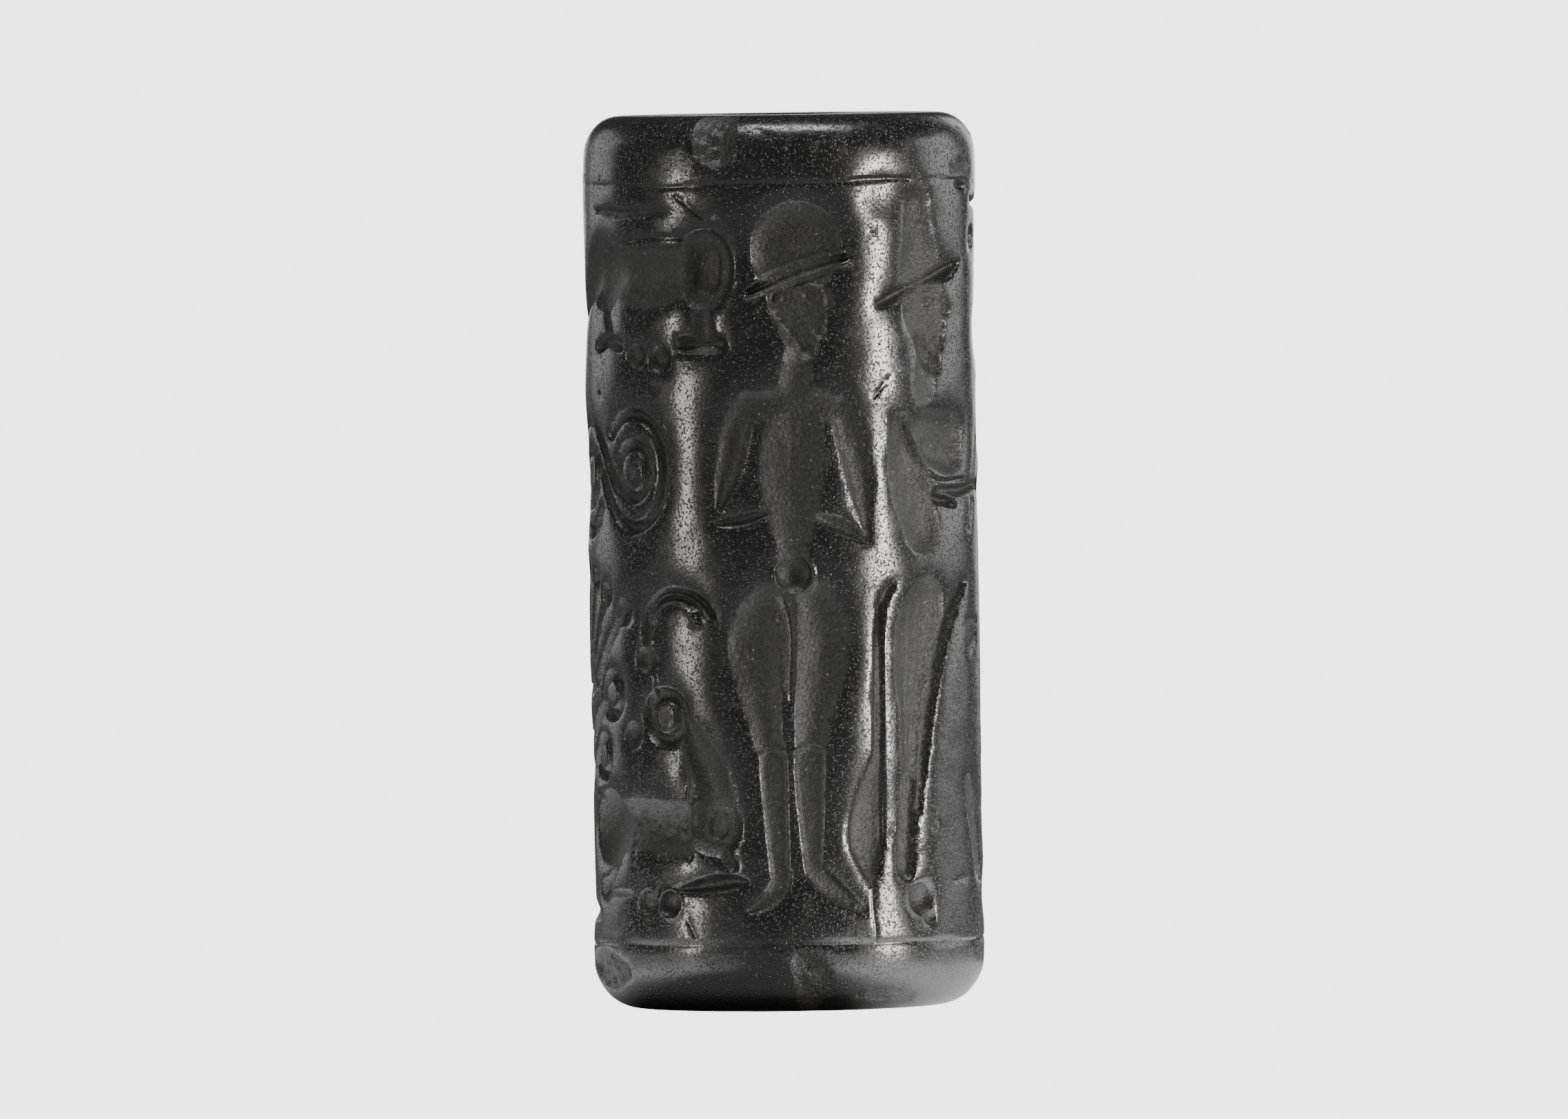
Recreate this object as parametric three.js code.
// Cylinder seal: one piece of haematite, drilled through lengthwise for a string and carved all
// round with a frieze that prints in relief when the stone is rolled over damp clay.
// Millimetres, +Z up the axis, origin at the middle of the lower end. The side at -Y is the front.
// Places on the skin are given as s, the distance round the girth from the front (growing towards
// +X), and v, the height above the lower end.
import * as THREE from "three";

// Driving sizes of the stone.
const RADIUS = 6.0;
const HEIGHT = 27.3;
const BORE_RADIUS = 1.5;
const BORE_FLARE = 0.3; // wear of the string on the mouths of the bore
const UPPER_ROUND = 1.05; // radius of the worn upper rim
const LOWER_ROUND = 1.35; // radius of the lower rim, worn a little further back

// How finely the stone is divided.
const COLUMNS = 96;
const SKIN_ROWS = 40;
const RIM_ROWS = 3;

// Depths of the cuts.
const BODY_DEPTH = 0.56; // bodies, thighs, skirts and torsos
const LIMB_DEPTH = 0.4; // arms, shins, horns, staffs
const DRILL_DEPTH = 0.34; // rings and dots left by the drill
const FAINT_DEPTH = 0.18; // shallow strokes and chips

// Lines of the layout: heights of the two register lines round the stone.
const UPPER_LINE = 25.2;
const LOWER_LINE = 2.05;

const GIRTH = 2 * Math.PI * RADIUS;
const cuts = [];

// One stroke of the graver: path holds [s, v, width], the section is a rounded trough.
function gouge(path, depth) {
  cuts.push({ path, depth, power: 0.75 });
}

// One touch of the round drill.
function ball(s, v, width, depth = DRILL_DEPTH) {
  cuts.push({ path: [[s, v, width]], depth, power: 0.5 });
}

// A point on a circle, by its angle in degrees from the +s direction.
function onCircle(s, v, radius, degrees) {
  const angle = (degrees * Math.PI) / 180;
  return [s + radius * Math.cos(angle), v + radius * Math.sin(angle)];
}

// One touch of the tubular drill, or a part of one: a round groove along an arc.
function ring(s, v, radius, width, depth = DRILL_DEPTH, start = 0, sweep = 360) {
  const steps = Math.max(4, Math.round(sweep / 22.5));
  const path = [];
  for (let i = 0; i <= steps; i++) {
    path.push([...onCircle(s, v, radius, start + (sweep * i) / steps), width]);
  }
  gouge(path, depth);
}

// Distance round the girth, brought to the half turn on either side of zero.
function turned(s) {
  return s - GIRTH * Math.round(s / GIRTH);
}

// Depth of one stretch of a stroke at a place on the skin.
function stretchDepth(s, v, from, to, cut) {
  const [s0, v0, w0] = from;
  const [s1, v1, w1] = to;
  const middle = (s0 + s1) / 2;
  const ds = turned(s - middle) + middle - s0;
  const dv = v - v0;
  const length2 = (s1 - s0) ** 2 + (v1 - v0) ** 2;
  const along = length2 ? (ds * (s1 - s0) + dv * (v1 - v0)) / length2 : 0;
  const t = Math.min(1, Math.max(0, along));
  const off = Math.hypot(ds - t * (s1 - s0), dv - t * (v1 - v0));
  const half = (w0 + (w1 - w0) * t) / 2;
  return off < half ? cut.depth * (1 - (off / half) ** 2) ** cut.power : 0;
}

// Depth of the carving at a place on the skin: the deepest of all the strokes there.
function carvedDepth(s, v) {
  let depth = 0;
  for (const cut of cuts) {
    const last = cut.path.length - 1;
    for (let i = 0; i < Math.max(1, last); i++) {
      const next = cut.path[Math.min(i + 1, last)];
      depth = Math.max(depth, stretchDepth(s, v, cut.path[i], next, cut));
    }
  }
  return depth;
}

// Depth averaged over one facet, so that a narrow stroke stays smooth on a coarse grid.
function facetDepth(s, v) {
  const reach = [-1 / 3, 0, 1 / 3];
  const stepS = GIRTH / COLUMNS;
  const stepV = HEIGHT / SKIN_ROWS;
  let sum = 0;
  for (const a of reach) {
    for (const b of reach) {
      sum += carvedDepth(s + a * stepS, v + b * stepV);
    }
  }
  return sum / reach.length ** 2;
}

// A leg: thigh, shin and pointed foot.
function leg(hip, thigh, knee, ankle, toe, widths) {
  const [hipWidth, thighWidth, kneeWidth, ankleWidth] = widths;
  gouge([[...hip, hipWidth], [...thigh, thighWidth], [...knee, kneeWidth]], BODY_DEPTH);
  gouge([[...knee, kneeWidth], [...ankle, ankleWidth]], LIMB_DEPTH);
  gouge([[...ankle, ankleWidth], [...toe, ankleWidth / 2]], DRILL_DEPTH);
}

// A head in plain profile under a hat: skull, chin and drilled eye.
function head(s, v, size) {
  gouge([[s, v + 0.2 * size, 0.6 * size], [s, v - 0.15 * size, 0.5 * size]], FAINT_DEPTH);
  ball(s + 0.1 * size, v + 0.13 * size, 0.26 * size);
  ball(s, v - 0.3 * size, 0.5 * size, LIMB_DEPTH);
}

// Frontal figure in a round cap, hands at the waist.
function capFigure() {
  gouge([[-0.25, 23.1, 1.5], [0.55, 23.4, 2.7], [1.4, 23.5, 1.5]], BODY_DEPTH);
  gouge([[-1.0, 22.0, 0.3], [0.5, 22.5, 0.42], [2.1, 22.95, 0.3]], LIMB_DEPTH);
  head(0.6, 21.2, 2.4);
  gouge([[-1.15, 18.2, 0.9], [0.4, 18.6, 1.1], [1.9, 18.2, 0.9]], DRILL_DEPTH);
  gouge([[0.4, 18.2, 2.0], [0.3, 16.4, 2.2], [0.28, 14.7, 1.3]], LIMB_DEPTH);
  gouge([[-1.05, 18.5, 0.8], [-1.62, 16.9, 1.05], [-2.05, 15.3, 0.35]], LIMB_DEPTH);
  gouge([[-2.1, 14.9, 0.3], [-0.55, 15.2, 0.35]], DRILL_DEPTH);
  gouge([[1.85, 18.4, 0.85], [2.36, 16.6, 1.1], [2.68, 14.5, 0.35]], LIMB_DEPTH);
  gouge([[1.0, 15.12, 0.25], [1.9, 14.72, 0.6], [2.7, 14.28, 0.3]], DRILL_DEPTH);
  ball(0.3, 13.35, 1.22);
  gouge([[0.0, 12.35, 1.1], [0.1, 11.2, 0.9], [0.1, 9.9, 0.4]], DRILL_DEPTH);
  leg([-0.85, 11.8], [-0.84, 10.4], [-0.46, 8.0], [-0.24, 4.2], [-1.2, 3.12], [1.9, 1.75, 0.85, 0.6]);
  leg([1.15, 11.8], [1.08, 10.4], [0.76, 8.0], [0.8, 4.3], [2.3, 3.08], [1.95, 1.7, 1.0, 0.56]);
}

// Figure in a tall hat and a long robe, one forearm raised to the standard.
function tallHatFigure() {
  gouge([[4.6, 24.5, 1.1], [4.75, 23.6, 1.7], [4.9, 22.9, 2.3]], LIMB_DEPTH);
  gouge([[3.1, 21.45, 0.35], [4.7, 22.05, 0.55], [6.9, 22.85, 0.35]], LIMB_DEPTH);
  head(5.3, 20.85, 2.4);
  gouge([[3.9, 17.9, 1.0], [6.7, 17.9, 1.0]], LIMB_DEPTH);
  gouge([[4.7, 17.5, 2.4], [4.6, 15.8, 2.0], [4.6, 14.2, 1.5]], BODY_DEPTH);
  gouge([[5.8, 17.5, 1.8], [6.4, 16.8, 1.5]], BODY_DEPTH);
  gouge([[5.7, 15.6, 0.5], [8.75, 15.85, 0.35]], LIMB_DEPTH);
  gouge([[5.0, 12.1, 2.9], [4.45, 10, 2.0], [4.2, 8, 1.4], [4.05, 6.4, 0.9]], BODY_DEPTH);
  gouge([[7.15, 12.95, 0.35], [6.2, 11.8, 0.5], [5.0, 8.6, 0.35], [4.6, 6.4, 0.3]], LIMB_DEPTH);
  gouge([[4.1, 6.3, 0.8], [4.1, 4.4, 0.7]], LIMB_DEPTH);
  ball(4.6, 3.4, 1.0);
  gouge([[7.2, 6.8, 0.7], [8.0, 4.3, 0.6]], FAINT_DEPTH);
}

// Thin staff that ends below in a leaf-shaped blade.
function bladeStaff() {
  gouge([[3.3, 12.7, 0.4], [2.95, 11.4, 0.36], [2.9, 7.0, 0.36]], DRILL_DEPTH);
  gouge([[2.85, 7.3, 0.3], [2.6, 5.7, 1.1], [2.65, 3.7, 0.2]], DRILL_DEPTH);
}

// Standard: a crossbar over a row of balls on a tall staff.
function standard() {
  gouge([[10.6, 24.35, 0.35], [9.4, 24.42, 0.42], [7.95, 24.6, 0.3]], DRILL_DEPTH);
  gouge([[9.4, 22.7, 1.4], [9.4, 21.4, 1.6]], FAINT_DEPTH);
  gouge([[9.4, 15.0, 0.5], [9.5, 9.0, 0.52], [9.5, 5.0, 0.6]], LIMB_DEPTH);
  gouge([[8.7, 17.6, 0.35], [8.0, 16.05, 0.3]], FAINT_DEPTH);
  for (const s of [8.1, 10.65]) ball(s, 23.4, 0.7);
  ball(9.4, 20.6, 1.9, BODY_DEPTH);
  for (const v of [18.6, 17.5, 15.5, 3.45]) ball(9.4, v, 1.1);
}

// Winged figure with a bird's head, striding towards the standard.
function wingedFigure() {
  ring(14.2, 22.0, 0.64, 0.44);
  gouge([[13.45, 22.1, 0.45], [12.3, 22.3, 0.44], [11.4, 21.6, 0.3]], DRILL_DEPTH);
  for (const [s, v] of [[15.4, 24.0], [14.25, 24.35], [13.1, 24.0]]) ball(s, v, 0.78);
  gouge([[14.6, 20.9, 0.8], [14.2, 19.5, 1.5], [13.7, 18.2, 2.6]], LIMB_DEPTH);
  gouge([[14.0, 17.8, 2.2], [13.95, 16.0, 1.7], [13.85, 14.2, 1.3]], BODY_DEPTH);
  ball(16.6, 17.4, 1.7, FAINT_DEPTH);
  gouge([[13.0, 18.1, 0.75], [12.3, 16.6, 0.55], [11.3, 14.6, 0.35]], LIMB_DEPTH);
  gouge([[11.2, 14.7, 0.35], [10.7, 16.9, 0.35]], FAINT_DEPTH);
  for (let i = 0; i < 3; i++) {
    gouge([[16.1, 14.6 - i, 0.4], [17.8, 12.9 - i, 0.3]], FAINT_DEPTH);
  }
  leg([14.7, 11.9], [14.9, 10.2], [15.1, 8.5], [15.8, 4.1], [14.3, 2.9], [2.3, 1.7, 1.3, 0.7]);
  leg([13.2, 11.9], [12.8, 10.2], [12.6, 8.5], [11.8, 3.9], [10.3, 3.0], [2.2, 1.5, 1.3, 0.5]);
}

// Beast with its head lowered.
function grazingBeast() {
  gouge([[-2.35, 22.95, 1.85], [-2.35, 22.1, 1.85]], BODY_DEPTH);
  gouge([[-3.3, 22.65, 1.6], [-6.9, 22.6, 1.55]], BODY_DEPTH);
  ball(-6.95, 22.55, 2.15, BODY_DEPTH);
  gouge([[-7.6, 22.7, 1.5], [-9.9, 20.5, 0.6]], LIMB_DEPTH);
  ring(-10.1, 20.4, 0.56, 0.4);
  gouge([[-2.4, 21.6, 0.95], [-2.35, 20.6, 0.7]], DRILL_DEPTH);
  gouge([[-3.35, 20.35, 0.6], [-1.8, 20.35, 0.5]], DRILL_DEPTH);
  gouge([[-5.85, 20.25, 0.55], [-7.25, 20.3, 0.4]], DRILL_DEPTH);
  for (const s of [-4.05, -5.0]) ball(s, 19.9, 0.85);
}

// Lion with its head thrown back and a curled tail.
function lion() {
  ring(-11.25, 23.3, 0.6, 0.42);
  ball(-9.95, 22.95, 0.72);
  gouge([[-12.6, 23.2, 1.9], [-14.8, 20.9, 2.1]], LIMB_DEPTH);
  gouge([[-14.8, 20.75, 1.5], [-19.1, 20.95, 1.5]], BODY_DEPTH);
  ball(-19.0, 20.75, 1.85, BODY_DEPTH);
  ball(-16.9, 23.65, 1.85, LIMB_DEPTH);
  gouge([[-16.5, 22.4, 0.4], [-18.3, 22.35, 0.4]], FAINT_DEPTH);
  ring(17.75, 23.1, 0.88, 0.38, DRILL_DEPTH, -20, 260);
  ring(16.65, 20.4, 0.5, 0.35, FAINT_DEPTH);
  for (const s of [-11.6, -12.2]) ball(s, 19.2, 0.72);
  for (const s of [-16.25, -17.2]) ball(s, 18.5, 0.85);
  gouge([[-12.45, 19.05, 0.4], [-14.5, 19.0, 0.35]], FAINT_DEPTH);
  gouge([[-17.6, 18.8, 0.4], [-19.7, 18.8, 0.35]], FAINT_DEPTH);
}

// Braid of scrolls: drilled eyes with strands that run from the top of one to the foot of the next.
function braid() {
  const scrolls = 5;
  const pitch = 3.08;
  const outer = 1.62;
  const inner = 0.74;
  const strand = 0.44;
  const centres = [];
  for (let i = 0; i < scrolls; i++) centres.push([-5.4 - pitch * i, 16.6 - 0.18 * i]);
  centres.forEach(([s, v], i) => {
    ring(s, v, inner, strand);
    const first = i === 0;
    const last = i === scrolls - 1;
    if (first) ring(s, v, outer, strand, DRILL_DEPTH, -120, 260);
    if (last) ring(s, v, outer, strand, DRILL_DEPTH, 60, 260);
    if (!first && !last) {
      ring(s, v, outer, strand, DRILL_DEPTH, 55, 90);
      ring(s, v, outer, strand, DRILL_DEPTH, 235, 90);
    }
    if (last) return;
    const [nextS, nextV] = centres[i + 1];
    const high = [...onCircle(nextS, nextV, outer, 45), strand];
    gouge([high, [...onCircle(s, v, inner, 222), strand]], DRILL_DEPTH);
    const low = [...onCircle(s, v, outer, 225), strand];
    gouge([[...onCircle(nextS, nextV, inner, 42), strand], low], DRILL_DEPTH);
  });
}

// Stylised tree: a fan of fronds over two tiers of volutes and a trunk on a mound.
function palmetteTree() {
  const s = -9.0;
  const fronds = 7;
  const spread = 16.3; // degrees from one frond to the next
  for (let i = 0; i < fronds; i++) {
    const outermost = i === 0 || i === fronds - 1;
    const tip = onCircle(s, 9.5, outermost ? 4.1 : 3.85, 41 + spread * i);
    ball(...tip, outermost ? 0.95 : 0.78);
  }
  for (const side of [-1, 1]) {
    gouge([[s + 2.9 * side, 12.0, 0.42], [s + side, 10.0, 0.36]], DRILL_DEPTH);
    ring(s - 0.2 + 2.6 * side, 9.7, 0.62, 0.4);
    ring(s - 0.1 + 1.75 * side, 7.75, 0.58, 0.38);
    gouge([[s + 1.6 * side, 9.3, 0.45], [s - 0.15, 8.2, 0.5]], DRILL_DEPTH);
    gouge([[s + 1.1 * side, 7.95, 0.42], [s - 0.15, 7.15, 0.46]], DRILL_DEPTH);
  }
  ball(s - 0.1, 9.85, 0.8);
  gouge([[s - 0.5, 6.9, 0.7], [s - 0.5, 5.0, 0.8], [s - 0.35, 3.5, 1.3]], DRILL_DEPTH);
  gouge([[s - 1.7, 2.9, 0.5], [s - 0.3, 3.1, 1.0], [s + 1.1, 2.9, 0.5]], FAINT_DEPTH);
}

// Couched goat. s and v are the middle of its eye; look is -1 for facing left, 1 for right.
function goat(s, v, look) {
  const at = (back, up, width) => [s - look * back, v + up, width];
  const [hornS, hornV] = at(0.62, 2.72);
  ring(hornS, hornV, 1.0, 0.56, LIMB_DEPTH, look < 0 ? 25 : -5, 160);
  gouge([at(-0.38, 2.6, 0.5), at(-0.75, 1.7, 0.5)], DRILL_DEPTH);
  ball(...at(-0.8, 1.6, 0.9));
  ring(s, v, 0.68, 0.44);
  ball(...at(-1.4, -0.55, 0.85));
  gouge([at(0.65, -0.1, 0.7), at(1.2, -1.4, 1.2), at(1.65, -2.8, 1.7)], LIMB_DEPTH);
  ball(...at(1.7, -3.3, 1.65), BODY_DEPTH);
  gouge([at(1.05, -3.4, 1.5), at(-2.55, -3.35, 1.4)], BODY_DEPTH);
  ball(...at(-2.9, -3.4, 2.2), BODY_DEPTH);
  gouge([at(2.7, -4.95, 0.5), at(0.55, -5.2, 0.35)], DRILL_DEPTH);
  ball(...at(0.15, -5.6, 0.86));
  ball(...at(-0.75, -5.7, 0.92));
  gouge([at(-1.15, -5.4, 0.35), at(-3.2, -5.4, 0.5)], DRILL_DEPTH);
  gouge([at(-2.4, -4.4, 0.5), at(-3.05, -5.2, 0.4)], DRILL_DEPTH);
}

// The fine line above the frieze and the one below it.
function registerLines() {
  const steps = 48;
  for (const v of [UPPER_LINE, LOWER_LINE]) {
    const path = [];
    for (let i = 0; i <= steps; i++) path.push([GIRTH * (i / steps - 0.5), v, 0.25]);
    gouge(path, FAINT_DEPTH / 2);
  }
}

// Old losses at the two rims.
function chips() {
  gouge([[-2.1, 27.1, 1.5], [-2.05, 26.4, 1.6]], DRILL_DEPTH);
  gouge([[-8.7, 1.3, 0.5], [-7.3, 1.25, 1.55], [-6.2, 1.25, 0.9]], DRILL_DEPTH);
  gouge([[0.6, 1.5, 1.2], [0.7, 0.6, 1.3]], FAINT_DEPTH);
  gouge([[6.2, 25.6, 0.9], [7.6, 25.7, 1.1]], FAINT_DEPTH);
}

// Closed section of the stone, from the mouth of the bore below, out and up, and back down inside.
function section() {
  const points = [
    [BORE_RADIUS, BORE_FLARE],
    [BORE_RADIUS + BORE_FLARE, 0],
  ];
  const corner = (radius, middleHeight, from) => {
    for (let i = 0; i <= RIM_ROWS; i++) {
      const angle = ((from + (90 * i) / RIM_ROWS) * Math.PI) / 180;
      points.push([
        RADIUS - radius + radius * Math.cos(angle),
        middleHeight + radius * Math.sin(angle),
      ]);
    }
  };
  corner(LOWER_ROUND, LOWER_ROUND, -90);
  const skin = HEIGHT - UPPER_ROUND - LOWER_ROUND;
  for (let i = 1; i < SKIN_ROWS; i++) points.push([RADIUS, LOWER_ROUND + (skin * i) / SKIN_ROWS]);
  corner(UPPER_ROUND, HEIGHT - UPPER_ROUND, 0);
  points.push([BORE_RADIUS + BORE_FLARE, HEIGHT]);
  points.push([BORE_RADIUS, HEIGHT - BORE_FLARE]);
  points.push(points[0]);
  return points.map(([radius, height]) => new THREE.Vector2(radius, height));
}

// The turned blank, with every place on its skin pushed in by the depth of the carving there.
function carvedStone() {
  const geometry = new THREE.LatheGeometry(section(), COLUMNS, -Math.PI, 2 * Math.PI);
  geometry.rotateX(Math.PI / 2);
  const place = geometry.getAttribute("position");
  for (let i = 0; i < place.count; i++) {
    const x = place.getX(i);
    const y = place.getY(i);
    const height = place.getZ(i);
    const radius = Math.hypot(x, y);
    const onEnd = height < 0.01 || height > HEIGHT - 0.01;
    const inBore = radius < BORE_RADIUS + BORE_FLARE + 0.01;
    if (onEnd || inBore) continue;
    const depth = facetDepth(RADIUS * Math.atan2(x, -y), height);
    const inward = (radius - depth) / radius;
    place.setXY(i, x * inward, y * inward);
  }
  geometry.computeVertexNormals();
  return geometry;
}

registerLines();
chips();
grazingBeast();
lion();
braid();
palmetteTree();
goat(-4.05, 9.0, -1);
goat(-15.0, 8.5, 1);
wingedFigure();
standard();
tallHatFigure();
bladeStaff();
capFigure();

const haematite = new THREE.MeshStandardMaterial({
  color: 0x34343a,
  roughness: 0.34,
  metalness: 0.25,
});
const seal = new THREE.Mesh(carvedStone(), haematite);
seal.name = "seal_stone";

const group = new THREE.Group();
group.add(seal);
export default group;
